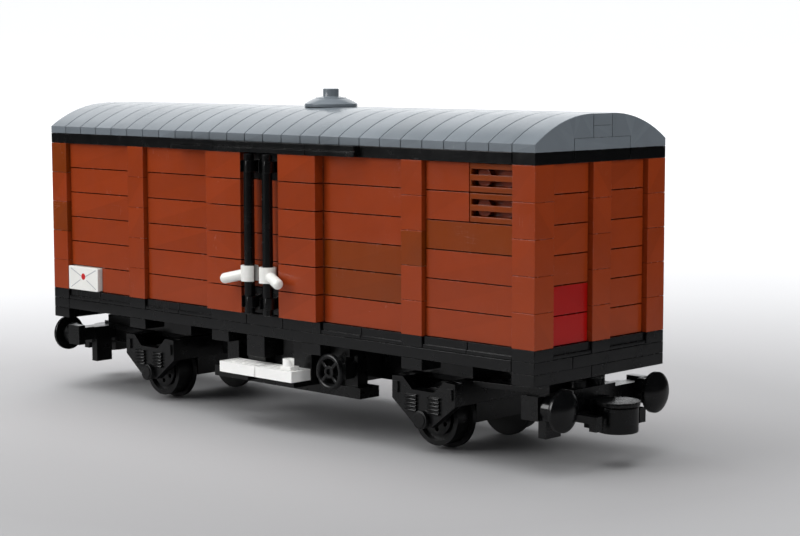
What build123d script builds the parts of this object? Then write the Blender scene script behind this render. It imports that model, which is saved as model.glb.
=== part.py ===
from build123d import *
import math
import os

# Brick-built model box car, in millimetres.
# Frame: origin midway along and across the car, z = 0 at the wheel treads (rail head).
# X runs along the car, Y across it, Z up.

# ---- brick system ----
PITCH = 8.0  # stud spacing
PLATE = 3.2  # height of one plate
BRICK = 9.6  # height of one brick
PLAY = 0.1  # gap left on each moulded side face
JOINT = 0.04  # gap left above each brick or plate
STUD_R = 2.4
STUD_H = 1.7
BAR_R = 1.59  # radius of a bar that fits a clip
RUNNING = 0.05  # radial clearance of a running fit

# ---- running gear ----
TREAD_R = 8.2
FLANGE_R = 9.4
WHEEL_OUT_Y = 18.0  # outer face of a wheel
TREAD_W = 5.0
FLANGE_W = 1.4
RING_OUT_R = 6.8  # inner radius of the rim
RING_DEEP = 1.8
DISC_R = 5.3
DISC_SET = 0.4  # the disc sits back from the rim by this much
HUB_R = 2.0
HOLE_R = 0.7
HOLE_RING_R = 3.6
AXLE_R = 1.0
TRUCK_X = 60.0  # pivot and axle station of each truck
TRUCK_TOP = 19.4
TRUCK_LOW = 12.8  # underside of the holder's end walls
TRUCK_HALF = 11.9  # half length of the holder
FRAME_Y = 24.0  # outer face of the side frames

# ---- body ----
HALF_L = 104.0  # 26 studs
HALF_W = 28.0  # 7 studs
SILL_LOW = 22.6  # underside of the lower end sill
BASE_Z = SILL_LOW + PLATE  # underside of the underframe plate
TRIM_Z = BASE_Z + PLATE
WALL_Z = TRIM_Z + PLATE  # foot of the walls
WALL_H = 5 * BRICK
BAND_Z = WALL_Z + WALL_H
ROOF_Z = BAND_Z + PLATE
RECESS = 1.6  # bays sit back and door leaves stand out by this much
TILE_T = 3.2  # thickness of a sideways tile or plate
ROW = 8.0  # height of one row of sideways tiles
ROWS = 6
SEAM = 0.16  # gap left on each edge of a tile

# stations along the side: pillars, bays and door
SIDE_BAYS = ((-80.0, 32.0), (-40.0, 32.0), (40.0, 32.0), (80.0, 32.0))
END_BAYS = ((-12.0, 16.0), (12.0, 16.0))
PILLAR_X = 60.0
CORNER_X = 100.0
CORNER_Y = 24.0
LEAF_X = 16.0  # centre of each door leaf
BAR_X = 4.0  # lock bars stand either side of the door centre
BAR_Y = 29.9
CLIP_OUT_R = 2.5
CLIP_H = 3.4
CLIP_MOUTH = 1.2  # half width of the gap in a clip
CLIP_ARM = 1.3
HEADER_FACE = 30.0  # outer face of the rail above the door

# grille tiles
GRILLE_X0 = 80.0
GRILLE_X1 = 96.0
GRILLE_ROW = 4  # rows below the first grille
GRILLE_T = 1.4
GRILLE_EDGE = 0.6  # plain border at the end of each slot
GRILLE_SLOT = 1.5
GRILLE_STEP = 1.55

# envelope tile
ENVELOPE_X0 = -96.0
ENVELOPE_X1 = -80.0

# ---- lock handles ----
HANDLE_Z = 12.4  # centre above the foot of the wall
HANDLE_OUT_R = 2.65
HANDLE_H = 4.6
HANDLE_MOUTH = 1.2  # half width of the gap in the collar
HANDLE_LEN = 6.6
HANDLE_DROOP = 13.0

# ---- underframe gear ----
STEP_Z = 14.2  # underside of the step boards
STEP_OUT = 32.0  # outer edge of the step boards
RIB_YS = (-30.8, -28.9, -27.1, -25.2)  # grooves in the tread
RIB_HALF = 0.45
RIB_DEEP = 0.7
CLIP_X = 11.6
CLIP_Y = -29.0
CLIP_RISE = 3.2
CLIP_BORE_R = 0.9
HANGER_LOW = STEP_Z - 1.6
LOW_BEAM_Z = 9.8  # underside of the low brake beam
LOW_BEAM_X = 32.0
LINK_X = 26.0
LINK_HALF = 2.6
ROLLER_R = 2.4
HAND_X = 28.0
HAND_Y = -28.0
HAND_Z = 18.4
HAND_R = 4.5  # centre line of the rim
HAND_RIM_R = 0.85
HAND_PIN_R = 0.9
HAND_HUB_R = 1.8
HAND_HUB_BACK = HAND_Y + 1.6
SPOKE_W = 0.9
SPOKE_T = 1.1
STAND_FACE = -24.0

# ---- truck parts, measured from the pivot ----
DECK_T = 1.6
HOLDER_Y = 20.6  # half width of the holder
CHEEK_Y = 10.0
CHEEK_LOW = 6.4
PIVOT_PIN_R = 3.0
PIVOT_DEEP = 7.0
PIVOT_GAP = 0.15
PIVOT_BOSS_R = 9.0
PIVOT_SOCKET_R = 5.0
BOLSTER_X = 12.0
BOLSTER_Y = 16.0
BOLSTER_LOW = 20.0
GIRDER_X = 42.0
GIRDER_Y = 8.0
GIRDER_LOW = 14.2
GIRDER_MID_X = 18.0  # the girder is deeper within this distance of the middle
GIRDER_MID_LOW = 11.6
VALLEY_X = 7.6  # half width of the dip in the side frames
VALLEY_Z = 16.0
VALLEY_Y = 12.5  # the deck is cut away outside this line
PAD_Y = 12.0
PAD_TOP = 22.2
PAD_LEN = 12.0
SPRING_X = 4.3
SPRING_HALF = 2.1
SPRING_LOW = 10.3
SPRING_STEP = 1.02
SPRING_ROD_R = 0.36
SIDE_TOP_X = 7.8  # the dip starts here
SIDE_DIP_X = 4.2
SIDE_LOW = 12.9  # foot of the side frame's upright ends
SIDE_FOOT_X = 3.0
SIDE_FOOT = 6.0
AXLE_BOX_R = 2.6
AXLE_CAP_R = 2.0
RIB_X = 10.2
BEAM_X0 = 36.2
BEAM_X1 = 41.9
BEAM_Y = 24.0
BEAM_LOW = 14.2
BEAM_TOP = 18.4
BEAM_BLOCK_LOW = 13.0  # underside of the middle and end blocks
BEAM_CAP_Y = 21.4
GUARD_LOW = 6.8
GUARD_Y0 = 10.6
GUARD_Y1 = 16.8
NOTCH_Y = 17.4  # notch at the back, inside each end block
BUFFER_Y = 20.0
BUFFER_Z = 15.9
BUFFER_R = 5.7
BUFFER_LEN = 8.0
BUFFER_DOME = 2.2
MAGNET_X = 49.7
MAGNET_R = 5.6
MAGNET_LOW = 8.1
MAGNET_TOP = 15.2
MAGNET_PIN_R = 1.5
PIN_RISE = 1.0  # height of the pin's foot above the magnet's underside
PIN_HEAD_R = 2.2
JAW_Z = 15.4
JAW_T = 1.1
JAW_R = 6.0
NECK_Y = 2.5
FORK_T = 2.0  # thickness of the fork's upright plate
FORK_Y = 4.6
HORN_LOW = 11.4
HORN_T = 2.0
HORN_Y0 = 8.2
HORN_Y1 = 10.8
HORN_OUT = 9.0
HORN_TIP = 2.4

# ---- roof ----
RIDGE_HALF = 4.0
ROOF_TOP = ROOF_Z + BRICK
SLICE_LIP = 2.2
ARC_R = 42.6
VENT_R = 8.0
VENT_RIM_Z = ROOF_TOP + 0.05
VENT_RIM_H = 0.9
VENT_CROWN_Z = ROOF_TOP + 3.4
VENT_WALL = 1.1
VENT_STUD_H = 2.1

os.makedirs("parts", exist_ok=True)


def save(name, solids):
    """Write one node from a solid or a list of separate solids."""
    pieces = solids if isinstance(solids, list) else [solids]
    flat = [solid for piece in pieces for solid in piece.solids()]
    shape = flat[0] if len(flat) == 1 else Compound(children=flat)
    shape.label = name
    export_step(shape, f"parts/{name}.step")


def block(x0, x1, y0, y1, z0, z1):
    """Box between two corners."""
    size = Box(x1 - x0, y1 - y0, z1 - z0)
    return Pos((x0 + x1) / 2, (y0 + y1) / 2, (z0 + z1) / 2) * size


def moulded(cx, cy, length, width, z0, height):
    """Brick or plate centred on (cx, cy), with play on its sides and a joint above it."""
    return block(
        cx - length / 2 + PLAY,
        cx + length / 2 - PLAY,
        cy - width / 2 + PLAY,
        cy + width / 2 - PLAY,
        z0,
        z0 + height - JOINT,
    )


def upright(radius, x, y, z0, z1):
    """Cylinder standing between two heights."""
    return Pos(x, y, (z0 + z1) / 2) * Cylinder(radius, z1 - z0)


def lying_y(radius, x, z, y0, y1):
    """Cylinder lying across the car."""
    return Pos(x, (y0 + y1) / 2, z) * Rot(90, 0, 0) * Cylinder(radius, abs(y1 - y0))


def lying_x(radius, y, z, x0, x1):
    """Cylinder lying along the car."""
    return Pos((x0 + x1) / 2, y, z) * Rot(0, 90, 0) * Cylinder(radius, abs(x1 - x0))


def turned(shape):
    """The same piece at the opposite end and side of the car."""
    return Rot(0, 0, 180) * shape


def both(shapes):
    """Pieces on the -Y side and the same pieces turned to the +Y side."""
    return shapes + [turned(shape) for shape in shapes]


# ---------------------------------------------------------------- underframe


def underframe_plate():
    """Long plate under the floor, and the girder below its middle."""
    plate = moulded(0, 0, 2 * HALF_L - 2 * PITCH, 2 * HALF_W, BASE_Z, PLATE)
    for x in (-TRUCK_X, TRUCK_X):
        plate -= upright(PIVOT_SOCKET_R, x, 0, BASE_Z - 1, TRIM_Z + 1)
    top = BASE_Z - JOINT
    girder = block(-GIRDER_X, GIRDER_X, -GIRDER_Y, GIRDER_Y, GIRDER_LOW, top)
    girder += block(-GIRDER_MID_X, GIRDER_MID_X, -GIRDER_Y, GIRDER_Y, GIRDER_MID_LOW, top)
    return [plate, girder]


def end_sill_plates():
    """Two layers of plates under each end wall, with staggered joints."""
    long_plate = moulded(CORNER_X, 8.0, PITCH, 40.0, BASE_Z, PLATE)
    short_plate = moulded(CORNER_X, -20.0, PITCH, 16.0, BASE_Z, PLATE)
    low_long = moulded(CORNER_X, 12.0, PITCH, 32.0, SILL_LOW, PLATE)
    low_short = moulded(CORNER_X, -16.0, PITCH, 24.0, SILL_LOW, PLATE)
    return both([long_plate, short_plate, low_long, low_short])


def sill_blocks():
    """1x1 blocks under the sill; the one near the door centre is two plates tall."""
    low = [moulded(x, -24.0, PITCH, PITCH, SILL_LOW, PLATE) for x in (-60.0, -20.0, 20.0, 60.0)]
    return both(low + [moulded(-4.0, -24.0, PITCH, PITCH, SILL_LOW - PLATE, 2 * PLATE)])


def floor_deck():
    deck = moulded(0, 0, 2 * HALF_L - 2 * PITCH, 2 * HALF_W - 2 * PITCH, TRIM_Z, PLATE)
    for x in (-TRUCK_X, TRUCK_X):
        deck -= upright(PIVOT_SOCKET_R, x, 0, TRIM_Z - 1, WALL_Z - 1)
    return deck


def sill_rail_plates():
    """Plates under the bays, recessed with a projecting rail lip along the foot."""
    pieces = []
    for centre, length in SIDE_BAYS:
        for step in (-length / 4, length / 4):
            x = centre + step
            body = block(x - PITCH + PLAY, x + PITCH - PLAY, -27.2, -20.0 - PLAY, TRIM_Z, WALL_Z)
            lip = block(x - PITCH + PLAY, x + PITCH - PLAY, -27.7, -27.2, TRIM_Z, TRIM_Z + 1.1)
            pieces.append(body + lip)
    for y, width in END_BAYS:
        body = block(96.0 + PLAY, 103.2, y - PITCH + PLAY, y + PITCH - PLAY, TRIM_Z, WALL_Z)
        lip = block(103.2, 103.7, y - PITCH + PLAY, y + PITCH - PLAY, TRIM_Z, TRIM_Z + 1.1)
        pieces.append(body + lip)
    return both(pieces)


def sill_pillar_plates():
    """Plates under the pillars and the door."""
    pieces = [moulded(x, -24.0, PITCH, PITCH, TRIM_Z, PLATE) for x in (-PILLAR_X, PILLAR_X)]
    pieces.append(moulded(-CORNER_X, -24.0, PITCH, PITCH, TRIM_Z, PLATE))
    pieces.append(moulded(CORNER_X, -24.0, PITCH, PITCH, TRIM_Z, PLATE))
    pieces.append(moulded(CORNER_X, 0.0, PITCH, PITCH, TRIM_Z, PLATE))
    for x in (-16.0, 0.0, 16.0):
        pieces.append(moulded(x, -24.0, 2 * PITCH, PITCH, TRIM_Z, PLATE))
    return both(pieces)


# ---------------------------------------------------------------------- walls


def wall_core(length, cx, cy, across, stagger):
    """Five courses of the hidden inner wall, joints staggered course by course."""
    courses = []
    for course in range(5):
        z = WALL_Z + BRICK * course
        shift = stagger if course % 2 else -stagger
        for low, high in ((-length / 2, shift), (shift, length / 2)):
            size, mid = high - low, (low + high) / 2
            if across:
                courses.append(moulded(cx, mid, PITCH, size, z, BRICK))
            else:
                courses.append(moulded(mid, cy, size, PITCH, z, BRICK))
    return courses


def side_wall_core():
    return both(wall_core(2 * HALF_L - 2 * PITCH, 0, -16.0, False, 16.0))


def end_wall_core():
    return both(wall_core(3 * PITCH, 92.0, 0, True, 4.0))


def stack(x, y):
    """Pillar of five 1x1 bricks."""
    return [moulded(x, y, PITCH, PITCH, WALL_Z + BRICK * n, BRICK) for n in range(5)]


def corner_pillar_bricks():
    return both(stack(CORNER_X, -CORNER_Y) + stack(-CORNER_X, -CORNER_Y))


def side_pillar_bricks():
    return both(stack(PILLAR_X, -CORNER_Y) + stack(-PILLAR_X, -CORNER_Y))


def end_pillar_bricks():
    return both(stack(CORNER_X, 0.0))


def side_slab(x0, x1, z0, z1, face, thickness=TILE_T):
    """Tile laid against the -Y side with its show face at y = -face."""
    return block(x0 + SEAM, x1 - SEAM, -face, -face + thickness, z0 + SEAM, z1 - SEAM)


def end_slab(y0, y1, z0, z1, face, thickness=TILE_T):
    """Tile laid against the +X end with its show face at x = face."""
    return block(face - thickness, face, y0 + SEAM, y1 - SEAM, z0 + SEAM, z1 - SEAM)


BAY_FACE = HALF_W - RECESS
LEAF_FACE = HALF_W + RECESS
END_FACE = HALF_L - RECESS
WALL_FACE = 20.0  # outer face of the inner wall


def bay_backing_plates():
    """Sideways plates behind every bay, two layers behind the door leaves, and the
    plate that carries the envelope tile."""
    top = WALL_Z + WALL_H
    below_grille = WALL_Z + ROW * GRILLE_ROW
    plates = [side_slab(GRILLE_X0, GRILLE_X1, WALL_Z, below_grille, BAY_FACE - TILE_T)]
    for centre, length in SIDE_BAYS:
        x0, x1 = centre - length / 2, centre + length / 2
        plates.append(side_slab(x0, min(x1, GRILLE_X0), WALL_Z, top, BAY_FACE - TILE_T))
    for x0, x1 in ((-24.0, -8.0), (-8.0, 8.0), (8.0, 24.0)):
        plates.append(side_slab(x0, x1, WALL_Z, top, BAY_FACE - TILE_T))
    for x0, x1 in ((-24.0, -8.0), (8.0, 24.0)):
        plates.append(side_slab(x0, x1, WALL_Z, top, BAY_FACE))
    for y, width in END_BAYS:
        plates.append(end_slab(y - width / 2, y + width / 2, WALL_Z, top, END_FACE - TILE_T))
    carrier = side_slab(ENVELOPE_X0, ENVELOPE_X1, WALL_Z, WALL_Z + ROW, HALF_W - TILE_T, RECESS)
    plates.append(carrier)
    return both(plates)


def rows():
    """Foot and head of each row of sideways tiles."""
    return [(WALL_Z + ROW * n, WALL_Z + ROW * (n + 1)) for n in range(ROWS)]


def side_bay_tiles():
    """1x4 tiles, with 1x2 tiles beside the grilles and beside the envelope tile."""
    tiles = []
    for n, (z0, z1) in enumerate(rows()):
        first = ENVELOPE_X1 if n == 0 else ENVELOPE_X0
        tiles.append(side_slab(first, -64.0, z0, z1, BAY_FACE))
        tiles.append(side_slab(-56.0, -24.0, z0, z1, BAY_FACE))
        tiles.append(side_slab(24.0, 56.0, z0, z1, BAY_FACE))
        last = GRILLE_X1 if n < GRILLE_ROW else GRILLE_X0
        tiles.append(side_slab(64.0, last, z0, z1, BAY_FACE))
    return both(tiles)


def grille_tiles():
    """1x2 grille tiles: two long slots each, open to the cavity behind."""
    tiles = []
    x0, x1 = GRILLE_X0 + GRILLE_EDGE, GRILLE_X1 - GRILLE_EDGE
    for z0, z1 in rows()[GRILLE_ROW:]:
        tile = side_slab(GRILLE_X0, GRILLE_X1, z0, z1, BAY_FACE, GRILLE_T)
        for z in ((z0 + z1) / 2 - GRILLE_STEP, (z0 + z1) / 2 + GRILLE_STEP):
            tile -= block(x0, x1, -BAY_FACE - 1, -WALL_FACE, z - GRILLE_SLOT / 2, z + GRILLE_SLOT / 2)
        tiles.append(tile)
    return both(tiles)


def grille_stud_plates():
    """Plates behind the grilles, each with two studs that show through the slots."""
    plates = []
    face = BAY_FACE - TILE_T
    for z0, z1 in rows()[GRILLE_ROW:]:
        plate = side_slab(GRILLE_X0, GRILLE_X1, z0, z1, face)
        for x in (GRILLE_X0 + PITCH / 2, GRILLE_X1 - PITCH / 2):
            plate += lying_y(STUD_R, x, (z0 + z1) / 2, -face - STUD_H, -face + 0.5)
        plates.append(plate)
    return both(plates)


def end_bay_tiles():
    tiles = []
    for z0, z1 in rows():
        tiles += [end_slab(y - w / 2, y + w / 2, z0, z1, END_FACE) for y, w in END_BAYS]
    return both(tiles)


def door_leaf_tiles():
    tiles = []
    for z0, z1 in rows():
        for x in (-LEAF_X, LEAF_X):
            tiles.append(side_slab(x - PITCH, x + PITCH, z0, z1, LEAF_FACE))
    return both(tiles)


def door_centre_tiles():
    """Four rows between the rows that carry the bar clips."""
    return both([side_slab(-PITCH, PITCH, z0, z1, BAY_FACE) for z0, z1 in rows()[1:5]])


def clip(x, z):
    """C-shaped clip around a lock bar, open towards the outside."""
    ring = upright(CLIP_OUT_R, x, -BAR_Y, z - CLIP_H / 2, z + CLIP_H / 2)
    bore = upright(BAR_R + RUNNING, x, -BAR_Y, z - CLIP_H, z + CLIP_H)
    mouth = block(x - CLIP_MOUTH, x + CLIP_MOUTH, -BAR_Y - 4, -BAR_Y, z - CLIP_H, z + CLIP_H)
    arm = block(x - CLIP_ARM, x + CLIP_ARM, 1.2 - BAR_Y, -BAY_FACE, z - CLIP_H / 2, z + CLIP_H / 2)
    return (ring + arm) - bore - mouth


def bar_clip_plates():
    """Black plates in the top and bottom rows, each with two clips."""
    pieces = []
    for z0, z1 in (rows()[0], rows()[-1]):
        plate = side_slab(-PITCH, PITCH, z0, z1, BAY_FACE)
        for x in (-BAR_X, BAR_X):
            plate += clip(x, (z0 + z1) / 2)
        pieces.append(plate)
    return both(pieces)


def envelope_tiles():
    """1x2 tile at the foot of the last bay, its face level with the pillars."""
    return both([side_slab(ENVELOPE_X0, ENVELOPE_X1, WALL_Z, WALL_Z + ROW, HALF_W)])


# ------------------------------------------------------------ band and header


def top_band_plates():
    """Black plate layer on the walls, with the joints seen on the ends."""
    pieces = []
    for x0, x1 in ((-96.0, -40.0), (-40.0, 40.0), (40.0, 96.0)):
        pieces.append(moulded((x0 + x1) / 2, -20.0, x1 - x0, 2 * PITCH, BAND_Z, PLATE))
    for y0, y1 in ((-28.0, -12.0), (-12.0, 12.0), (12.0, 28.0)):
        pieces.append(moulded(CORNER_X, (y0 + y1) / 2, PITCH, y1 - y0, BAND_Z, PLATE))
    return both(pieces)


def door_header_rails():
    """Rail standing out above the door, in three lengths."""
    pieces = []
    groove_z = BAND_Z + 1.4
    bottom = -HEADER_FACE + 0.5
    for x0, x1 in ((-40.0, -20.0), (-20.0, 20.0), (20.0, 40.0)):
        rail = block(x0 + PLAY, x1 - PLAY, -HEADER_FACE, -HALF_W, BAND_Z, BAND_Z + PLATE - JOINT)
        rail -= block(x0 - 1, x1 + 1, -HEADER_FACE - 1, bottom, groove_z, groove_z + 0.4)
        pieces.append(rail)
    return both(pieces)


# ----------------------------------------------------------------------- roof


def roof_base_plates():
    """Plates three studs wide under the ridge, end to end."""
    pieces = []
    for x0, x1 in ((-104.0, -40.0), (-40.0, 40.0), (40.0, 104.0)):
        pieces.append(moulded((x0 + x1) / 2, 0, x1 - x0, 24.0, ROOF_Z, PLATE))
    return pieces


def ridge_lengths():
    """The ridge is laid in lengths that break either side of the vent."""
    return ((-104.0, -56.0), (-56.0, -4.0), (4.0, 56.0), (56.0, 104.0))


def roof_ridge_plates():
    z = ROOF_Z + PLATE
    pieces = [moulded((a + b) / 2, 0, b - a, PITCH, z, PLATE) for a, b in ridge_lengths()]
    return pieces + [moulded(0, 0, PITCH, PITCH, z, PLATE)]


def roof_ridge_tiles():
    z = ROOF_Z + 2 * PLATE
    return [moulded((a + b) / 2, 0, b - a, PITCH, z, PLATE) for a, b in ridge_lengths()]


def roof_curved_slices():
    """Identical curved slices, one stud wide along the car, 26 on each side."""
    inner_y, step_y, edge_y = RIDGE_HALF + PLAY, 12.0 + PLAY, HALF_W - PLAY
    step_z, lip_z = ROOF_Z + PLATE, ROOF_Z + SLICE_LIP
    mid_y = (RIDGE_HALF + HALF_W) / 2
    mid_z = ROOF_TOP - (ARC_R - math.sqrt(ARC_R**2 - (mid_y - RIDGE_HALF) ** 2))
    with BuildPart() as slice_part:
        with BuildSketch(Plane.YZ):
            with BuildLine():
                Polyline(
                    (inner_y, ROOF_TOP),
                    (inner_y, step_z),
                    (step_y, step_z),
                    (step_y, ROOF_Z),
                    (edge_y, ROOF_Z),
                    (edge_y, lip_z),
                )
                ThreePointArc((edge_y, lip_z), (mid_y, mid_z), (inner_y, ROOF_TOP))
            make_face()
        extrude(amount=PITCH - 2 * PLAY)
    one = slice_part.part.solids()[0]
    pieces = []
    for n in range(26):
        x = -HALF_L + PITCH * n + PLAY
        pieces.append(Pos(x, 0, 0) * one)
        pieces.append(turned(Pos(x, 0, 0) * one))
    return pieces


def vent_post():
    """Round 1x1 brick through the ridge that carries the dish."""
    return upright(3.95, 0, 0, ROOF_Z + 2 * PLATE, VENT_RIM_Z + 0.4)


def ball_slice(crown_z, foot_z, radius):
    """Domed cap with the given crown height, foot height and foot radius."""
    rise = crown_z - foot_z
    ball_r = (radius**2 + rise**2) / (2 * rise)
    return Pos(0, 0, crown_z - ball_r) * Sphere(ball_r) & upright(radius, 0, 0, foot_z, crown_z + 1)


def vent_dish():
    """Inverted dish with an upright rim, hollow underneath, and a stud on its crown."""
    rim_top = VENT_RIM_Z + VENT_RIM_H
    cap = ball_slice(VENT_CROWN_Z, rim_top, VENT_R) + upright(VENT_R, 0, 0, VENT_RIM_Z, rim_top)
    cap -= ball_slice(VENT_CROWN_Z - VENT_WALL, VENT_RIM_Z, VENT_R - VENT_WALL)
    cap += upright(4.6, 0, 0, VENT_RIM_Z + 0.4, VENT_CROWN_Z - 0.6)
    stud = upright(STUD_R, 0, 0, VENT_CROWN_Z - 0.6, VENT_CROWN_Z + VENT_STUD_H)
    return cap + fillet(stud.edges().group_by(Axis.Z)[-1], 0.3)


# ------------------------------------------------------------ door lock gear


def lock_bar(x):
    """Upright bar held by the two clips."""
    bar = upright(BAR_R, x, -BAR_Y, WALL_Z + 0.3, BAND_Z - 0.3)
    return chamfer(bar.edges(), 0.25)


def lock_handle(x, heading):
    """Handle clipped round a lock bar: a split collar and a drooping rod."""
    collar = upright(HANDLE_OUT_R, 0, 0, -HANDLE_H / 2, HANDLE_H / 2)
    collar -= upright(BAR_R, 0, 0, -HANDLE_H, HANDLE_H)
    collar -= block(-6, 0, -HANDLE_MOUTH, HANDLE_MOUTH, -HANDLE_H, HANDLE_H)
    prongs = collar.edges().filter_by(Axis.Z).sort_by(Axis.X)[:4]
    collar = fillet(prongs, 0.25)
    reach = HANDLE_OUT_R - 0.5
    rod = Pos(reach + HANDLE_LEN / 2 - 0.5, 0, 0) * Rot(0, 90, 0) * Cylinder(BAR_R, HANDLE_LEN)
    tip = Pos(reach + HANDLE_LEN - 0.5, 0, 0) * Sphere(BAR_R)
    droop = Rot(0, HANDLE_DROOP, 0) * (rod + tip)
    body = collar + droop
    body -= upright(BAR_R, 0, 0, -8, 8)
    return Pos(x, -BAR_Y, WALL_Z + HANDLE_Z) * Rot(0, 0, heading) * body


# ------------------------------------------------------------ underframe gear


def step_boards():
    """White step under the door in two lengths, with shallow tread ribs."""
    pieces = []
    top = STEP_Z + PLATE
    for x0, x1 in ((-2 * PITCH, 0.0), (0.0, 2 * PITCH)):
        board = block(x0 + PLAY, x1 - PLAY, PLAY - STEP_OUT, -STEP_OUT + PITCH - PLAY, STEP_Z, top)
        board = fillet(board.edges().filter_by(Axis.Z), 0.3)
        for y in RIB_YS:
            board -= block(x0 + 1.2, x1 - 1.2, y - RIB_HALF, y + RIB_HALF, top - RIB_DEEP, top + 1)
        pieces.append(board)
    return both(pieces)


def step_clip():
    """Small upright clip piece standing on the step board."""
    z0 = STEP_Z + PLATE
    z1 = z0 + CLIP_RISE
    foot = block(CLIP_X - 1.7, CLIP_X + 2.6, CLIP_Y - 1.7, CLIP_Y + 1.7, z0, z0 + 1.1)
    jaw = upright(1.7, CLIP_X, CLIP_Y, z0, z1) - upright(CLIP_BORE_R, CLIP_X, CLIP_Y, z0 + 1.1, z1 + 1)
    jaw -= block(CLIP_X + 0.5, CLIP_X + 3, CLIP_Y - 0.7, CLIP_Y + 0.7, z0 + 1.1, z1 + 1)
    return both([foot + jaw])


def step_hangers():
    """Black brackets that carry the step board from the underframe."""
    pieces = []
    for x in (-12.0, 8.0):
        x0, x1 = x + PLAY, x + PITCH - PLAY
        drop = block(x0, x1, -24.0 + PLAY, -20.0, HANGER_LOW, BASE_Z)
        tongue = block(x0, x1, 1 - STEP_OUT, -20.0, HANGER_LOW, STEP_Z)
        if x < 0:
            drop -= block(-8.1, 1.0, -24.5, -19.0, SILL_LOW - PLATE - PLAY, BASE_Z + 1)
        pieces.append(drop + tongue)
    return both(pieces)


def brake_beam():
    """Low plate running under the car between its two drop links, with one roller."""
    top = LOW_BEAM_Z + PLATE
    beam = block(-LOW_BEAM_X, LOW_BEAM_X, -20.0 + PLAY, -12.0 - PLAY, LOW_BEAM_Z, top)
    for x in (-LINK_X, LINK_X):
        beam += block(x - LINK_HALF, x + LINK_HALF, -17.5, -13.4, LOW_BEAM_Z, BASE_Z)
    beam += lying_y(ROLLER_R, LINK_X, top + 4.4, -19.9, -13.4)
    return both([beam])


def brake_stand():
    """Block with the pin that the hand brake wheel turns on."""
    half = PITCH / 2 - PLAY
    foot = block(HAND_X - half, HAND_X + half, STAND_FACE, -17.7, SILL_LOW, BASE_Z)
    arm = block(HAND_X - 2.4, HAND_X + 2.4, STAND_FACE, -20.5, HAND_Z - 2.4, BASE_Z)
    pin = lying_y(HAND_PIN_R, HAND_X, HAND_Z, HAND_Y, STAND_FACE + 0.1)
    return both([foot + arm + pin])


def handwheel():
    """Rim, hub and four spokes, bored for the pin, which ends inside the hub."""
    rim = Pos(HAND_X, HAND_Y, HAND_Z) * Rot(90, 0, 0) * Torus(HAND_R, HAND_RIM_R)
    wheel = rim + lying_y(HAND_HUB_R, HAND_X, HAND_Z, HAND_Y - 0.6, HAND_HUB_BACK)
    for angle in (45, 135, 225, 315):
        spoke = Pos(HAND_R / 2 + 0.4, 0, 0) * Box(HAND_R - 0.8, SPOKE_W, SPOKE_T)
        wheel += Pos(HAND_X, HAND_Y, HAND_Z) * Rot(90, 0, 0) * Rot(0, 0, angle) * spoke
    bore_r = HAND_PIN_R + RUNNING
    return wheel - lying_y(bore_r, HAND_X, HAND_Z, HAND_Y - 1, HAND_HUB_BACK + 1)


# ---------------------------------------------------------------- running gear


def pivot_boss():
    """Bolster and round boss under the floor, with the pin that the truck swings on."""
    bolster = block(-BOLSTER_X, BOLSTER_X, -BOLSTER_Y, BOLSTER_Y, BOLSTER_LOW, BASE_Z)
    flange = bolster + upright(PIVOT_BOSS_R, 0, 0, TRUCK_TOP + PIVOT_GAP, BASE_Z)
    peg = upright(PIVOT_SOCKET_R - PLAY, 0, 0, BASE_Z, WALL_Z - 1.5)
    pin = upright(PIVOT_PIN_R, 0, 0, TRUCK_TOP - PIVOT_DEEP, TRUCK_TOP + PIVOT_GAP)
    boss = flange + peg + pin
    return [Pos(TRUCK_X, 0, 0) * boss, Pos(-TRUCK_X, 0, 0) * boss]


def prism(plane, points, length):
    """Prism on an outline drawn on a plane, running along the plane's normal."""
    with BuildPart() as part:
        with BuildSketch(plane):
            with BuildLine():
                Polyline(*points, close=True)
            make_face()
        extrude(amount=length)
    return part.part


def truck_frame():
    """Bogie plate, arm to the beam and axle holder, with the pivot at x = 0."""
    under = TRUCK_TOP - DECK_T
    deck = block(-TRUCK_HALF, TRUCK_HALF, -HOLDER_Y, HOLDER_Y, under, TRUCK_TOP)
    skirt = block(-TRUCK_HALF, TRUCK_HALF, -HOLDER_Y, HOLDER_Y, TRUCK_LOW, under)
    inner = TRUCK_HALF - 1.4
    skirt -= block(-inner, inner, -HOLDER_Y + 1.4, HOLDER_Y - 1.4, TRUCK_LOW - 1, under)
    cheeks = block(-8.0, 8.0, -CHEEK_Y, CHEEK_Y, CHEEK_LOW, under)
    cheeks -= block(-6.6, 6.6, -CHEEK_Y + 2.0, CHEEK_Y - 2.0, 0, under)
    hub = upright(PIVOT_PIN_R + 2.4, 0, 0, TRUCK_TOP - PIVOT_DEEP, under)
    arm_end = BEAM_X0 - 0.2
    plan = ((11.0, -16.0), (arm_end, -PAD_Y), (arm_end, PAD_Y), (11.0, 16.0))
    arm = prism(Plane.XY.offset(under), plan, DECK_T)
    arm += block(arm_end - PAD_LEN, arm_end, -9.0, 9.0, TRUCK_LOW, under)
    pad = block(arm_end - PAD_LEN, arm_end, -PAD_Y, PAD_Y, TRUCK_TOP, PAD_TOP)
    for y0, y1 in ((-HOLDER_Y - 1, -VALLEY_Y), (VALLEY_Y, HOLDER_Y + 1)):
        valley = block(-VALLEY_X, VALLEY_X, y0, y1, VALLEY_Z, TRUCK_TOP + 1)
        deck -= valley
        skirt -= valley
    frame = deck + skirt + cheeks + hub + arm + pad
    frame -= upright(PIVOT_PIN_R + RUNNING, 0, 0, 0, TRUCK_TOP + 1)
    frame -= lying_y(AXLE_R + RUNNING, 0, TREAD_R, -CHEEK_Y - 1, CHEEK_Y + 1)
    return frame


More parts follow.
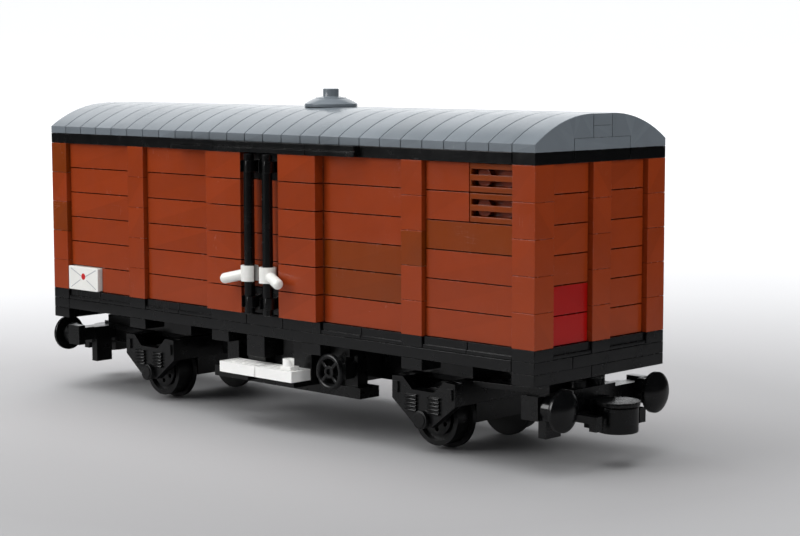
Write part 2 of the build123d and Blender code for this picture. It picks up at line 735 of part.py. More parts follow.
def side_frame():
    """Side frame with two moulded springs and an axle box, on the -Y side."""
    face = -FRAME_Y + 0.8
    right_half = (
        (SIDE_DIP_X, VALLEY_Z),
        (SIDE_TOP_X, TRUCK_TOP),
        (TRUCK_HALF, TRUCK_TOP - 0.2),
        (TRUCK_HALF, SIDE_LOW),
        (SIDE_FOOT_X, SIDE_FOOT),
    )
    left_half = tuple((-x, z) for x, z in reversed(right_half))
    frame = prism(Plane.XZ.offset(HOLDER_Y), right_half + left_half, -HOLDER_Y - face)
    for x in (-SPRING_X, SPRING_X):
        frame += block(x - 1.9, x + 1.9, face - 0.3, face + 0.5, 9.9, 14.8)
        for n in range(5):
            z = SPRING_LOW + SPRING_STEP * n
            frame += lying_x(SPRING_ROD_R, face - 0.5, z, x - SPRING_HALF, x + SPRING_HALF)
    box_z = TREAD_R - 0.1
    frame += lying_y(AXLE_BOX_R, 0, box_z, -FRAME_Y - 0.7, -FRAME_Y + 1)
    frame += lying_y(AXLE_CAP_R, 0, box_z, -FRAME_Y - 1.0, -FRAME_Y)
    for x in (-RIB_X, RIB_X):
        frame += block(x - 0.9, x + 0.9, face - 0.6, face + 0.2, 14.6, 17.8)
    return frame


def buffer_beam():
    """Beam across the end of the truck, with end caps and guard irons."""
    x0, x1 = BEAM_X0, BEAM_X1
    beam = block(x0, x1, -BEAM_Y, BEAM_Y, BEAM_LOW, BEAM_TOP)
    for y0, y1 in ((-BEAM_Y, -BEAM_CAP_Y), (BEAM_CAP_Y, BEAM_Y), (-9.0, 9.0)):
        beam += block(x0, x1, y0, y1, BEAM_BLOCK_LOW, TRUCK_TOP)
    for y0, y1 in ((-GUARD_Y1, -GUARD_Y0), (GUARD_Y0, GUARD_Y1)):
        beam += block(x0 - 0.1, x0 + 2.6, y0, y1, GUARD_LOW, BEAM_LOW + 0.1)
    for y0, y1 in ((-BEAM_CAP_Y, -NOTCH_Y), (NOTCH_Y, BEAM_CAP_Y)):
        beam -= block(x0 - 1, x0 + 1.2, y0, y1, BEAM_BLOCK_LOW, TRUCK_TOP)
    for y in (-PITCH / 2, PITCH / 2):
        beam += upright(STUD_R, x0 + 2.9, y, TRUCK_TOP, TRUCK_TOP + STUD_H)
    return beam


def buffers():
    """Two buffers: neck, shank and domed head."""
    x0 = BEAM_X1
    crown_x = x0 + BUFFER_LEN
    ball_r = (BUFFER_R**2 + BUFFER_DOME**2) / (2 * BUFFER_DOME)
    ball = Pos(crown_x - ball_r, 0, 0) * Sphere(ball_r)
    head = ball & lying_x(BUFFER_R, 0, 0, x0 + 4.8, crown_x + 1)
    buffer = head + lying_x(3.5, 0, 0, x0, x0 + 3.2) + lying_x(2.6, 0, 0, x0, x0 + 5.0)
    return [Pos(0, y, BUFFER_Z) * buffer for y in (-BUFFER_Y, BUFFER_Y)]


def coupler_holder():
    """Fork on the beam; a round jaw above carries the pin the magnet turns on."""
    x0, x1 = BEAM_X1, BEAM_X1 + FORK_T
    horn_x = BEAM_X1 + HORN_OUT
    jaw_top, horn_top = JAW_Z + JAW_T, HORN_LOW + HORN_T
    holder = block(x0, x1, -FORK_Y, FORK_Y, MAGNET_LOW + 0.7, jaw_top)
    holder += block(x0, x1, -HORN_Y1, HORN_Y1, HORN_LOW, horn_top)
    for y0, y1 in ((-HORN_Y1, -HORN_Y0), (HORN_Y0, HORN_Y1)):
        holder += block(x0, horn_x, y0, y1, HORN_LOW, horn_top)
        holder += block(horn_x - HORN_TIP, horn_x, y0, y1, HORN_LOW - HORN_T, horn_top)
    holder += block(x0, MAGNET_X, -NECK_Y, NECK_Y, JAW_Z, jaw_top)
    holder += upright(JAW_R, MAGNET_X, 0, JAW_Z, jaw_top)
    holder += upright(MAGNET_PIN_R, MAGNET_X, 0, MAGNET_LOW + PIN_RISE, jaw_top)
    head_top = MAGNET_LOW + PIN_RISE + 0.1
    holder += upright(PIN_HEAD_R, MAGNET_X, 0, MAGNET_LOW + 0.2, head_top)
    return holder


def coupler_magnet():
    """Round magnet in its casing, bored for the pin and its head."""
    body = upright(MAGNET_R, MAGNET_X, 0, MAGNET_LOW, MAGNET_TOP)
    body = fillet(body.edges(), 0.4)
    body -= upright(MAGNET_PIN_R + RUNNING, MAGNET_X, 0, MAGNET_LOW - 1, MAGNET_TOP + 1)
    return body - upright(PIN_HEAD_R + 0.3, MAGNET_X, 0, MAGNET_LOW - 1, MAGNET_LOW + PIN_RISE + 0.3)


def axle():
    end = WHEEL_OUT_Y + 0.6
    return chamfer(lying_y(AXLE_R, 0, TREAD_R, -end, end).edges(), 0.2)


def wheels():
    """Two flanged wheels: rim, sunken ring and inner disc with six round holes."""
    pieces = []
    for side in (-1, 1):
        out_y = side * WHEEL_OUT_Y
        tread_y = side * (WHEEL_OUT_Y - TREAD_W)
        in_y = side * (WHEEL_OUT_Y - TREAD_W - FLANGE_W)
        wheel = lying_y(TREAD_R, 0, TREAD_R, out_y, tread_y)
        wheel += lying_y(FLANGE_R, 0, TREAD_R, tread_y, in_y)
        ring = lying_y(RING_OUT_R, 0, TREAD_R, out_y + side, out_y - side * RING_DEEP)
        wheel -= ring - lying_y(DISC_R, 0, TREAD_R, out_y + side * 2, in_y)
        wheel -= lying_y(DISC_R + 0.5, 0, TREAD_R, out_y + side, out_y - side * DISC_SET)
        wheel += lying_y(HUB_R, 0, TREAD_R, out_y - side * 0.1, out_y - side * DISC_SET * 2)
        for n in range(6):
            angle = math.radians(60 * n + 30)
            x, z = HOLE_RING_R * math.cos(angle), TREAD_R + HOLE_RING_R * math.sin(angle)
            wheel -= lying_y(HOLE_R, x, z, out_y + side, out_y - side * RING_DEEP)
        wheel -= lying_y(AXLE_R, 0, TREAD_R, out_y + side, in_y - side)
        pieces.append(wheel)
    return pieces


def truck_nodes():
    """Every node of one truck, around its pivot."""
    return {
        "truck_frame": [truck_frame()],
        "side_frames": [side_frame(), turned(side_frame())],
        "buffer_beam": [buffer_beam()],
        "buffers": buffers(),
        "coupler_holder": [coupler_holder()],
        "coupler_magnet": [coupler_magnet()],
        "axle": [axle()],
        "wheels": wheels(),
    }


NODES = {
    "underframe_plate": underframe_plate,
    "end_sill_plates": end_sill_plates,
    "sill_blocks": sill_blocks,
    "floor_deck": floor_deck,
    "sill_rail_plates": sill_rail_plates,
    "sill_pillar_plates": sill_pillar_plates,
    "side_wall_core": side_wall_core,
    "end_wall_core": end_wall_core,
    "corner_pillar_bricks": corner_pillar_bricks,
    "side_pillar_bricks": side_pillar_bricks,
    "end_pillar_bricks": end_pillar_bricks,
    "bay_backing_plates": bay_backing_plates,
    "side_bay_tiles": side_bay_tiles,
    "end_bay_tiles": end_bay_tiles,
    "grille_tiles": grille_tiles,
    "grille_stud_plates": grille_stud_plates,
    "door_leaf_tiles": door_leaf_tiles,
    "door_centre_tiles": door_centre_tiles,
    "bar_clip_plates": bar_clip_plates,
    "envelope_tiles": envelope_tiles,
    "top_band_plates": top_band_plates,
    "door_header_rails": door_header_rails,
    "roof_base_plates": roof_base_plates,
    "roof_ridge_plates": roof_ridge_plates,
    "roof_ridge_tiles": roof_ridge_tiles,
    "roof_curved_slices": roof_curved_slices,
    "vent_post": vent_post,
    "vent_dish": vent_dish,
    "step_boards": step_boards,
    "step_clip": step_clip,
    "step_hangers": step_hangers,
    "brake_beam": brake_beam,
    "brake_stand": brake_stand,
    "pivot_boss": pivot_boss,
}

for node, make in NODES.items():
    save(node, make())

save("handwheel_near", handwheel())
save("handwheel_far", turned(handwheel()))

for tag, place in (("near", Rot(0, 0, 0)), ("far", Rot(0, 0, 180))):
    for side, x, heading in (("left", -BAR_X, 202.0), ("right", BAR_X, -22.0)):
        save(f"lock_bar_{tag}_{side}", place * lock_bar(x))
        save(f"lock_handle_{tag}_{side}", place * lock_handle(x, heading))

for tag, place in (("front", Pos(TRUCK_X, 0, 0)), ("rear", Rot(0, 0, 180) * Pos(TRUCK_X, 0, 0))):
    for node, solids in truck_nodes().items():
        save(f"{node}_{tag}", [place * solid for solid in solids])
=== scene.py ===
import math

import bmesh
import bpy
from mathutils import Matrix, Vector


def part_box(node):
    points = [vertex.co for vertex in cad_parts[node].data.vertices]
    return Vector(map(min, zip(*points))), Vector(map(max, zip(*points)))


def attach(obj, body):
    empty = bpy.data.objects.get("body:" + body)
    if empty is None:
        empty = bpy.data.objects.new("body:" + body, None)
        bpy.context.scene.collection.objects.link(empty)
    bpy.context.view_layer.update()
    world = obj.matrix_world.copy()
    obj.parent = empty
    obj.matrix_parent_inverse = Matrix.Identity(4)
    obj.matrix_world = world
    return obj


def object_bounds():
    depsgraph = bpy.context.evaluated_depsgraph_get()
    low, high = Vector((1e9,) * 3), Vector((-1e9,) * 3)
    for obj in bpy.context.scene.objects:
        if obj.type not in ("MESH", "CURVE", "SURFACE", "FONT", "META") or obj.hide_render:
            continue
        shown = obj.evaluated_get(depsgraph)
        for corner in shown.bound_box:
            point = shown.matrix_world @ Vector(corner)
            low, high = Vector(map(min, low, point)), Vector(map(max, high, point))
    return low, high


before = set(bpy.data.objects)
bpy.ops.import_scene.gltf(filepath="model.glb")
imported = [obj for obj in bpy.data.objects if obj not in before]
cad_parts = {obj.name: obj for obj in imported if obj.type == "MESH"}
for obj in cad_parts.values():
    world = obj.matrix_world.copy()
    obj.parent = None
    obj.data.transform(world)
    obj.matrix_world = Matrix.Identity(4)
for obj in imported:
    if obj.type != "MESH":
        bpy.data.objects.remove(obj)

cad_low, cad_high = [list(corner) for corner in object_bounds()]

MM = 0.001
STUD = 8 * MM
BRICK = 9.6 * MM
ROW = 8 * MM
WALL_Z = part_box("side_pillar_bricks")[0].z

# ------------------------------------------------------------- material graphs

# How fine each noise is: its scale per metre of the car.
CLOUD_SCALE, SPECK_SCALE, WEAR_SCALE = 95.0, 2400.0, 420.0
SMEAR_SCALE, WAVE_SCALE, GRAIN_SCALE = 160.0, 260.0, 5200.0
PATCH_SCALE = 70.0
SCRATCH_ALONG, SCRATCH_ACROSS = (30, 30, 1600), (900, 900, 60)
TURNING_RINGS = (40, 9000, 40)

SCRATCH_WIDTH, SCRATCH_PATCH, SCRATCH_WEIGHT = 0.006, 0.59, 0.28
EDGE_REACH, EDGE_SAMPLES = 0.35 * MM, 6
BUMP_HEIGHT, BUMP_STRENGTH = 0.06 * MM, 0.35
RING_HEIGHT, RING_STRENGTH = 0.03 * MM, 0.3
MARK_ROUGHNESS = 0.12
PLASTIC_IOR = 1.50

DUST = (0.62, 0.60, 0.56, 1)
RUBBED = (0.75, 0.73, 0.70, 1)
STEEL_DARK, STEEL_LIGHT = (0.46, 0.46, 0.47, 1), (0.64, 0.64, 0.65, 1)


class Graph:
    """A material's node tree, with short calls for the nodes used here."""

    def __init__(self, name):
        self.mat = bpy.data.materials.new(name)
        self.mat.use_nodes = True
        self.tree = self.mat.node_tree
        self.tree.nodes.clear()
        output = self.tree.nodes.new("ShaderNodeOutputMaterial")
        self.shader = self.tree.nodes.new("ShaderNodeBsdfPrincipled")
        self.tree.links.new(self.shader.outputs[0], output.inputs[0])
        self.coord = self.tree.nodes.new("ShaderNodeTexCoord").outputs["Object"]
        self.x, self.y, self.z = self.split(self.coord)
        self.geometry = self.tree.nodes.new("ShaderNodeNewGeometry")

    def put(self, socket, value):
        """Link an output, or set a plain value."""
        if isinstance(value, bpy.types.NodeSocket):
            self.tree.links.new(value, socket)
        else:
            socket.default_value = value

    def drive(self, name, value):
        """Link or set one input of the shader."""
        self.put(self.shader.inputs[name], value)

    def split(self, vector):
        node = self.tree.nodes.new("ShaderNodeSeparateXYZ")
        self.put(node.inputs[0], vector)
        return node.outputs

    def math(self, op, *values):
        node = self.tree.nodes.new("ShaderNodeMath")
        node.operation = op
        for socket, value in zip(node.inputs, values):
            self.put(socket, value)
        return node.outputs[0]

    def times(self, product, *others):
        for value in others:
            product = self.math("MULTIPLY", product, value)
        return product

    def between(self, value, low, high):
        """1 where low < value < high."""
        above = self.math("GREATER_THAN", value, low)
        return self.times(above, self.math("LESS_THAN", value, high))

    def noise(self, scale, detail=2.0, rough=0.5, vector=None):
        node = self.tree.nodes.new("ShaderNodeTexNoise")
        self.put(node.inputs["Vector"], vector or self.coord)
        self.put(node.inputs["Scale"], scale)
        self.put(node.inputs["Detail"], detail)
        self.put(node.inputs["Roughness"], rough)
        return node.outputs[0]

    def stretched(self, x, y, z):
        """Object coordinates scaled along each axis."""
        node = self.tree.nodes.new("ShaderNodeMapping")
        self.put(node.inputs["Vector"], self.coord)
        self.put(node.inputs["Scale"], (x, y, z))
        return node.outputs[0]

    def remap(self, value, low, high, to_low, to_high):
        node = self.tree.nodes.new("ShaderNodeMapRange")
        for socket, number in zip(node.inputs, (value, low, high, to_low, to_high)):
            self.put(socket, number)
        return node.outputs[0]

    def mix(self, factor, a, b, blend="MIX"):
        node = self.tree.nodes.new("ShaderNodeMix")
        node.data_type = "RGBA"
        node.blend_type = blend
        self.put(node.inputs[0], factor)
        self.put(node.inputs[6], a)
        self.put(node.inputs[7], b)
        return node.outputs[2]

    def grey(self, value):
        node = self.tree.nodes.new("ShaderNodeCombineColor")
        for socket in node.inputs[:3]:
            self.put(socket, value)
        return node.outputs[0]

    def scaled(self, colour, level):
        """A colour made lighter or darker by a level."""
        return self.mix(1.0, colour, self.grey(level), "MULTIPLY")

    def bump(self, height, strength, distance):
        node = self.tree.nodes.new("ShaderNodeBump")
        self.put(node.inputs["Height"], height)
        self.put(node.inputs["Strength"], strength)
        self.put(node.inputs["Distance"], distance)
        return node.outputs[0]

    def piece(self):
        """One random number for each brick, from 0 to 1."""
        return self.geometry.outputs["Random Per Island"]

    def edges(self, radius):
        """1 close to a convex or concave edge, 0 on open faces."""
        node = self.tree.nodes.new("ShaderNodeBevel")
        node.samples = EDGE_SAMPLES
        self.put(node.inputs["Radius"], radius)
        dot = self.tree.nodes.new("ShaderNodeVectorMath")
        dot.operation = "DOT_PRODUCT"
        self.put(dot.inputs[0], node.outputs[0])
        self.put(dot.inputs[1], self.geometry.outputs["Normal"])
        return self.remap(dot.outputs["Value"], 0.9, 0.995, 1.0, 0.0)

    def hairlines(self, stretch):
        """Thin wandering lines, 0 or 1."""
        slow = self.noise(1.0, 1.0, vector=self.stretched(*stretch))
        offset = self.math("ABSOLUTE", self.math("SUBTRACT", slow, 0.5))
        return self.math("LESS_THAN", offset, SCRATCH_WIDTH)

    def scratches(self):
        """Fine crossing lines, 0 or 1, in scattered patches."""
        along, across = self.hairlines(SCRATCH_ALONG), self.hairlines(SCRATCH_ACROSS)
        patch = self.math("GREATER_THAN", self.noise(PATCH_SCALE), SCRATCH_PATCH)
        return self.times(self.math("MAXIMUM", along, across), patch)

    def facing_up(self):
        """How far the surface faces up, 0 to 1."""
        normal = self.split(self.geometry.outputs["Normal"])
        return self.remap(normal[2], 0.2, 0.95, 0.0, 1.0)


def moulded_plastic(name, base, spread=0.07, rough=0.20, dust=0.05, wear=0.05, rules=()):
    """Glossy moulded plastic; each brick is a little lighter or darker than the next.

    rules are (colour, box) pairs: the bricks inside the box take that colour.
    """
    g = Graph(name)
    colour = base
    for tint, (xs, ys, zs) in rules:
        inside = g.times(g.between(g.x, *xs), g.between(g.y, *ys), g.between(g.z, *zs))
        colour = g.mix(inside, colour, tint)
    tone = g.remap(g.piece(), 0.0, 1.0, 1.0 - spread, 1.0 + spread)
    cloud = g.remap(g.noise(CLOUD_SCALE, 4.0, 0.6), 0.3, 0.75, 1.03, 0.94)
    colour = g.scaled(g.scaled(colour, tone), cloud)

    speck = g.remap(g.noise(SPECK_SCALE), 0.66, 0.78, 0.0, 1.0)
    settled = g.times(speck, g.math("ADD", g.facing_up(), 0.2))
    colour = g.mix(g.times(settled, dust), colour, DUST)

    worn = g.remap(g.noise(WEAR_SCALE, 3.0), 0.45, 0.7, 0.0, 1.0)
    lines = g.scratches()
    rubbed = g.times(g.edges(EDGE_REACH), worn)
    marks = g.math("MAXIMUM", rubbed, g.times(lines, SCRATCH_WEIGHT))
    pale = g.mix(0.5, base, RUBBED)
    g.drive("Base Color", g.mix(g.times(marks, wear), colour, pale))

    smear = g.remap(g.noise(SMEAR_SCALE, 5.0, 0.65), 0.3, 0.7, rough * 0.8, rough * 1.35)
    g.drive("Roughness", g.math("ADD", smear, g.times(marks, MARK_ROUGHNESS)))
    g.drive("IOR", PLASTIC_IOR)

    grain = g.times(g.noise(GRAIN_SCALE, 1.0), 0.10)
    wave = g.math("ADD", g.noise(WAVE_SCALE), grain)
    wave = g.math("SUBTRACT", wave, g.times(lines, 0.15))
    g.drive("Normal", g.bump(wave, BUMP_STRENGTH, BUMP_HEIGHT))
    return g.mat


def drawn_steel(name):
    """Turned steel with fine rings round the axle."""
    g = Graph(name)
    rings = g.noise(1.0, 2.0, 0.6, vector=g.stretched(*TURNING_RINGS))
    g.drive("Base Color", g.mix(rings, STEEL_DARK, STEEL_LIGHT))
    g.drive("Metallic", 1.0)
    g.drive("Roughness", g.remap(rings, 0.3, 0.7, 0.22, 0.42))
    g.drive("Normal", g.bump(rings, RING_STRENGTH, RING_HEIGHT))
    return g.mat


# ------------------------------------------------------------------- materials

REDDISH = (0.262, 0.036, 0.0060, 1)
OLD_BROWN = (0.190, 0.032, 0.0020, 1)
DARK_RED = (0.300, 0.0030, 0.0020, 1)
STUD_BROWN = (0.150, 0.020, 0.0040, 1)
INNER_BROWN = (0.17, 0.032, 0.009, 1)
BLACK = (0.0026, 0.0028, 0.0031, 1)
STONE = (0.150, 0.172, 0.192, 1)
WHITE = (0.80, 0.80, 0.765, 1)
# Painted light: the steps are the same white plastic as the other white parts, painted
# lighter so that they read brighter.
PAINTED_LIGHT_STEP_WHITE = (0.93, 0.93, 0.91, 1)

# Spans of the car in which the odd coloured bricks are.
NEAR_WALL = (-50 * MM, -16 * MM)
NEAR_END_BAY = (-22 * MM, -2 * MM)
FRONT_END = (90 * MM, 110 * MM)
FRONT_BAY = (62 * MM, 98 * MM)
FRONT_PILLAR = (54 * MM, 66 * MM)
MIDDLE_BAY = (22 * MM, 58 * MM)
REAR_CORNER = (-106 * MM, -94 * MM)
COURSE_SLACK = 0.2 * MM


def course(first, last, step):
    """Heights from the foot of one course to the head of another."""
    foot = WALL_Z + step * (first - 1) - COURSE_SLACK
    return (foot, WALL_Z + step * last - COURSE_SLACK)


reddish = moulded_plastic(
    "reddish_bricks",
    REDDISH,
    rules=(
        (OLD_BROWN, (FRONT_PILLAR, NEAR_WALL, course(3, 3, BRICK))),
        (OLD_BROWN, (REAR_CORNER, NEAR_WALL, course(3, 3, BRICK))),
        (OLD_BROWN, (REAR_CORNER, NEAR_WALL, course(5, 5, BRICK))),
    ),
)
bay_plastic = moulded_plastic(
    "bay_tiles",
    REDDISH,
    rules=(
        (OLD_BROWN, (FRONT_BAY, NEAR_WALL, course(4, 4, ROW))),
        (OLD_BROWN, (MIDDLE_BAY, NEAR_WALL, course(2, 3, ROW))),
    ),
)
end_plastic = moulded_plastic(
    "end_tiles",
    REDDISH,
    rules=((DARK_RED, (FRONT_END, NEAR_END_BAY, course(1, 2, ROW))),),
)
leaf_plastic = moulded_plastic("door_tiles", REDDISH)
grille_plastic = moulded_plastic("grille_brown", OLD_BROWN)
cavity_plastic = moulded_plastic("grille_studs", STUD_BROWN)
inner_plastic = moulded_plastic("inner_bricks", INNER_BROWN)
black_plastic = moulded_plastic("black_parts", BLACK, rough=0.22, dust=0.03, wear=0.04)
gear_plastic = moulded_plastic("running_gear_black", BLACK, rough=0.28)
wheel_plastic = moulded_plastic("wheel_black", BLACK, rough=0.32, dust=0.07, wear=0.06)
roof_plastic = moulded_plastic("roof_grey", STONE, dust=0.06)
white_plastic = moulded_plastic("white_parts", WHITE, spread=0.02, rough=0.22, dust=0.08)
# Painted light: a lighter copy of the white plastic for the steps.
step_plastic_painted_light = moulded_plastic("white_steps_painted_light", PAINTED_LIGHT_STEP_WHITE, spread=0.02, rough=0.22)
steel = drawn_steel("axle_steel")

# The nodes of each material, by the start of their names; any other is a black part.
FINISH = {
    reddish: ("corner_pillar_bricks", "side_pillar_bricks", "end_pillar_bricks"),
    bay_plastic: ("side_bay_tiles",),
    end_plastic: ("end_bay_tiles",),
    leaf_plastic: ("door_leaf_tiles", "door_centre_tiles"),
    grille_plastic: ("grille_tiles",),
    cavity_plastic: ("grille_stud_plates",),
    inner_plastic: ("bay_backing_plates", "side_wall_core", "end_wall_core", "floor_deck"),
    roof_plastic: ("roof_", "vent_"),
    white_plastic: ("envelope_tiles", "lock_handle_"),
    step_plastic_painted_light: ("step_boards", "step_clip"),
    wheel_plastic: ("wheels_",),
    steel: ("axle_",),
    gear_plastic: (
        "truck_frame_",
        "side_frames_",
        "buffer_beam_",
        "coupler_",
        "brake_",
        "handwheel_",
    ),
}

EDGE_RADIUS = 0.14 * MM
ROUNDED = {
    "roof_curved_slices": 0.16 * MM,
    "vent_dish": 0.15 * MM,
    "envelope_tiles": 0.45 * MM,
}
WELD_GAP = 0.004 * MM
ROUNDED_FROM = math.radians(35)


def finish_for(node):
    for material, names in FINISH.items():
        if node.startswith(names):
            return material
    return black_plastic


def soften(obj, width):
    """Join the face patches of a moulded piece and round its edges."""
    weld = obj.modifiers.new("weld", "WELD")
    weld.merge_threshold = WELD_GAP
    bevel = obj.modifiers.new("edge radius", "BEVEL")
    bevel.width = width
    bevel.segments = 2
    bevel.limit_method = "ANGLE"
    bevel.angle_limit = ROUNDED_FROM
    bevel.use_clamp_overlap = True
    level = obj.modifiers.new("flat faces stay flat", "WEIGHTED_NORMAL")
    level.mode = "FACE_AREA"
    level.weight = 100
    level.keep_sharp = False


for node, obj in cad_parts.items():
    obj.data.materials.clear()
    obj.data.materials.append(finish_for(node))
    soften(obj, ROUNDED.get(node, EDGE_RADIUS))

# -------------------------------------------------------------- envelope print

LINE_GREY = (0.42, 0.43, 0.45, 1)
SEAL_RED = (0.55, 0.010, 0.012, 1)
INK_FADE = 0.86
CORNER = Vector((6.6, 3.1)) * MM
FLAP_TIP, FLAP_WIDTH = Vector((0, 0.3)) * MM, 0.34 * MM
FOLD_END, FOLD_WIDTH = Vector((1.6, -0.4)) * MM, 0.30 * MM
SEAL_CENTRE, SEAL_RADIUS, SEAL_SIDES = Vector((0, 0.7)) * MM, 1.05 * MM, 40
LINES_PROUD, SEAL_PROUD = 0.01 * MM, 0.02 * MM


def make_object(name, bm, material):
    """Turn a finished bmesh into an object of the scene."""
    mesh = bpy.data.meshes.new(name)
    bm.to_mesh(mesh)
    bm.free()
    mesh.materials.append(material)
    obj = bpy.data.objects.new(name, mesh)
    bpy.context.scene.collection.objects.link(obj)
    return obj


def ink(name, colour):
    """Printed ink: a little uneven and duller than the tile."""
    g = Graph(name)
    faded = (*[channel * INK_FADE for channel in colour[:3]], 1)
    g.drive("Base Color", g.mix(g.noise(900.0, 3.0), colour, faded))
    g.drive("Roughness", g.remap(g.noise(1500.0), 0.3, 0.7, 0.28, 0.42))
    return g.mat


def print_strip(bm, a, b, width, place):
    along = (b - a).normalized()
    across = Vector((-along.y, along.x)) * width / 2
    corners = (a + across, a - across, b - across, b + across)
    bm.faces.new([bm.verts.new(place(corner)) for corner in corners])


def print_lines(bm, place):
    """The flap and the folds of a plain envelope."""
    for side in (-1, 1):
        top = Vector((side * CORNER.x, CORNER.y))
        foot = Vector((side * CORNER.x, -CORNER.y))
        print_strip(bm, top, FLAP_TIP, FLAP_WIDTH, place)
        print_strip(bm, foot, Vector((side * FOLD_END.x, FOLD_END.y)), FOLD_WIDTH, place)


def print_seal(bm, place):
    """A plain round seal on the flap."""
    turns = [math.tau * n / SEAL_SIDES for n in range(SEAL_SIDES)]
    spots = [SEAL_CENTRE + SEAL_RADIUS * Vector((math.cos(t), math.sin(t))) for t in turns]
    bm.faces.new([bm.verts.new(place(spot)) for spot in spots])


def add_print(name, material, draw, proud, sign):
    """Lay a print on the face of the envelope tile on one side of the car."""
    tiles_low, tiles_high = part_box("envelope_tiles")
    middle_z = (tiles_low.z + tiles_high.z) / 2
    if sign < 0:
        middle_x, face_y = tiles_low.x + STUD, tiles_low.y - proud
    else:
        middle_x, face_y = tiles_high.x - STUD, tiles_high.y + proud
    bm = bmesh.new()
    draw(bm, lambda p: Vector((middle_x - sign * p.x, face_y, middle_z + p.y)))
    bm.normal_update()
    wrong = [face for face in bm.faces if face.normal.y * sign < 0]
    bmesh.ops.reverse_faces(bm, faces=wrong)
    obj = make_object(name, bm, material)
    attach(obj, "car_body")


line_ink = ink("grey_ink", LINE_GREY)
seal_ink = ink("red_ink", SEAL_RED)
for tag, sign in (("near", -1), ("far", 1)):
    add_print(f"envelope_lines_{tag}", line_ink, print_lines, LINES_PROUD, sign)
    add_print(f"envelope_seal_{tag}", seal_ink, print_seal, SEAL_PROUD, sign)

# ----------------------------------------------------------------------- floor

PAPER_DARK, PAPER_LIGHT = (0.80, 0.80, 0.82, 1), (0.84, 0.84, 0.85, 1)
# Colour of the painted glow of the paper.
PAINTED_GLOW_COLOUR = (0.97, 0.985, 1.0, 1)
AWAY = Vector((-0.6906, 0.7151, 0)).normalized()

# Painted light levels of the paper as the camera, the glossy bricks and all other light
# see it, and the distances from the car, in metres, over which they change.
CAMERA_NEAR, CAMERA_FAR, CAMERA_SPAN = 0.37, 0.58, (-0.15, 0.30)
MIRROR_NEAR, MIRROR_FAR, MIRROR_SPAN = 0.20, 0.03, (0.25, 0.55)
BOUNCE_LEVEL = 0.55
# Strength and span of the painted glow for the camera, then of the painted glowing patch
# that shows only in reflections.
PAINTED_HALO_LEVEL, PAINTED_HALO_SPAN = 0.82, (0.15, 0.9)
PAINTED_GLOW_PATCH_LEVEL, PAINTED_GLOW_PATCH_SPAN = 1.35, (0.9, 1.6)
PAINTED_GLOW_PATCH_TURN, PAINTED_GLOW_PATCH_RISE = (0.80, 0.88), (0.76, 0.92)

FLOOR_FLAT, FLOOR_BEND, FLOOR_WALL = 1.6, 1.2, 4.5
FLAT_RINGS, BEND_RINGS, FLOOR_TURNS = 8, 16, 96


def paper_with_painted_light(name):
    """Pale paper with painted light: for the camera it is painted darker close to the car
    and glows brighter away from it. In reflections it is painted dark but for the ground
    close by and a painted glowing patch behind the car, which is no lamp."""
    g = Graph(name)
    path = g.tree.nodes.new("ShaderNodeLightPath")
    camera_ray, glossy_ray = path.outputs["Is Camera Ray"], path.outputs["Is Glossy Ray"]
    reach = g.math("SQRT", g.math("ADD", g.times(g.x, g.x), g.times(g.y, g.y)))
    ahead = g.math("ADD", g.times(g.x, AWAY.x), g.times(g.y, AWAY.y))

    # Painted reflection: the paper is painted darker in reflections the farther it lies
    # from the car.
    mirrored = g.remap(reach, *MIRROR_SPAN, MIRROR_NEAR, MIRROR_FAR)
    # Painted light fall-off for the camera: the paper is painted darker close to the car
    # and lighter away from it.
    camera_painted_level = g.remap(ahead, *CAMERA_SPAN, CAMERA_NEAR, CAMERA_FAR)
    level = g.mix(glossy_ray, g.grey(BOUNCE_LEVEL), g.grey(mirrored))
    level = g.mix(camera_ray, level, g.grey(camera_painted_level))
    pale = g.mix(g.noise(3.0), PAPER_DARK, PAPER_LIGHT)
    g.drive("Base Color", g.mix(1.0, pale, level, "MULTIPLY"))
    g.drive("Roughness", 0.8)
    g.drive("Specular IOR Level", 0.1)

    # A painted glowing patch behind the car that shows only in reflections; it is no lamp.
    sector = g.remap(g.math("DIVIDE", ahead, reach), *PAINTED_GLOW_PATCH_TURN, 0.0, 1.0)
    rise = g.remap(g.math("DIVIDE", g.z, reach), *PAINTED_GLOW_PATCH_RISE, 1.0, 0.0)
    painted_glow_patch = g.times(sector, rise, g.remap(reach, *PAINTED_GLOW_PATCH_SPAN, 0.0, 1.0))
    painted_reflection_glow = g.times(painted_glow_patch, glossy_ray, PAINTED_GLOW_PATCH_LEVEL)
    # Painted glow for the camera, growing away from the car; the paper is no lamp.
    painted_halo = g.times(g.remap(reach, *PAINTED_HALO_SPAN, 0.0, PAINTED_HALO_LEVEL), camera_ray)
    g.drive("Emission Color", PAINTED_GLOW_COLOUR)
    g.drive("Emission Strength", g.math("ADD", painted_reflection_glow, painted_halo))
    return g.mat


def floor_profile():
    """Radius and height of each ring of the floor, out to the top of its wall."""
    profile = [(FLOOR_FLAT * n / FLAT_RINGS, 0.0) for n in range(1, FLAT_RINGS + 1)]
    for n in range(1, BEND_RINGS + 1):
        turn = math.pi / 2 * n / BEND_RINGS
        radius = FLOOR_FLAT + FLOOR_BEND * math.sin(turn)
        profile.append((radius, FLOOR_BEND * (1 - math.cos(turn))))
    profile.append((FLOOR_FLAT + FLOOR_BEND, FLOOR_WALL))
    return profile


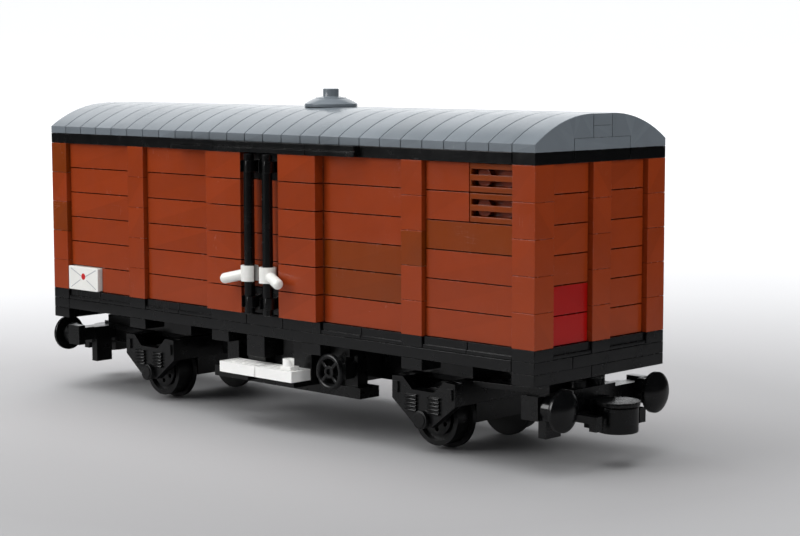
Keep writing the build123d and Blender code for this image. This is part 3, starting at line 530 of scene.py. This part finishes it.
def studio_floor():
    """A round pale floor whose rim curves up into a wall on every side."""
    ground = cad_low[2]
    turns = [math.tau * n / FLOOR_TURNS for n in range(FLOOR_TURNS)]
    bm = bmesh.new()
    centre = bm.verts.new((0, 0, ground))
    rings = [
        [bm.verts.new((r * math.cos(t), r * math.sin(t), ground + up)) for t in turns]
        for r, up in floor_profile()
    ]
    for n in range(FLOOR_TURNS):
        m = (n + 1) % FLOOR_TURNS
        bm.faces.new((centre, rings[0][n], rings[0][m]))
        for inner, outer in zip(rings, rings[1:]):
            bm.faces.new((inner[n], outer[n], outer[m], inner[m]))
    floor = make_object("studio_floor", bm, paper_with_painted_light("paper_with_painted_light"))
    for polygon in floor.data.polygons:
        polygon.use_smooth = True


# ------------------------------------------------------------ lamps and camera

CAR_MIDDLE = Vector((0, 0, 0.05))
SKY, SKY_LEVEL = (0.92, 0.95, 1.0, 1), 0.10
SENSOR_MM, LENS_MM = 36.0, 86.8
CAMERA_PLACE = (0.4212, -0.4063, 0.1075)
CAMERA_RIGHT = (0.7195, 0.6945, -0.0021)
CAMERA_UP = (-0.0735, 0.0792, 0.9941)
CAMERA_BACK = (0.6906, -0.7151, 0.1080)


def lamp(name, place, side, watts, mirrored=False):
    """A square softbox aimed at the car; only a mirrored one shows in reflections."""
    data = bpy.data.lights.new(name, "AREA")
    data.size = side
    data.energy = watts
    obj = bpy.data.objects.new(name, data)
    bpy.context.scene.collection.objects.link(obj)
    obj.location = place
    obj.rotation_euler = (CAR_MIDDLE - Vector(place)).to_track_quat("-Z", "Y").to_euler()
    obj.visible_camera = False
    obj.visible_glossy = mirrored


studio_floor()
lamp("softbox_top", (-0.2, -0.1, 1.25), 1.5, 28.0)
lamp("softbox_side", (-0.75, -1.35, 0.75), 0.9, 15.0, mirrored=True)
lamp("softbox_end", (1.5, 0.15, 0.6), 0.9, 7.4)
lamp("softbox_back", (-1.1, 1.3, 0.9), 0.9, 7.0)

world = bpy.data.worlds.new("studio")
world.use_nodes = True
background = world.node_tree.nodes["Background"]
background.inputs[0].default_value = SKY
background.inputs[1].default_value = SKY_LEVEL
bpy.context.scene.world = world
bpy.context.scene.view_settings.view_transform = "Standard"

camera_data = bpy.data.cameras.new("camera")
camera_data.sensor_width = SENSOR_MM
camera_data.lens = LENS_MM
camera_data.clip_start = 10 * MM
camera = bpy.data.objects.new("camera", camera_data)
bpy.context.scene.collection.objects.link(camera)
turned = Matrix((CAMERA_RIGHT, CAMERA_UP, CAMERA_BACK)).transposed().to_4x4()
camera.matrix_world = Matrix.Translation(CAMERA_PLACE) @ turned
bpy.context.scene.camera = camera
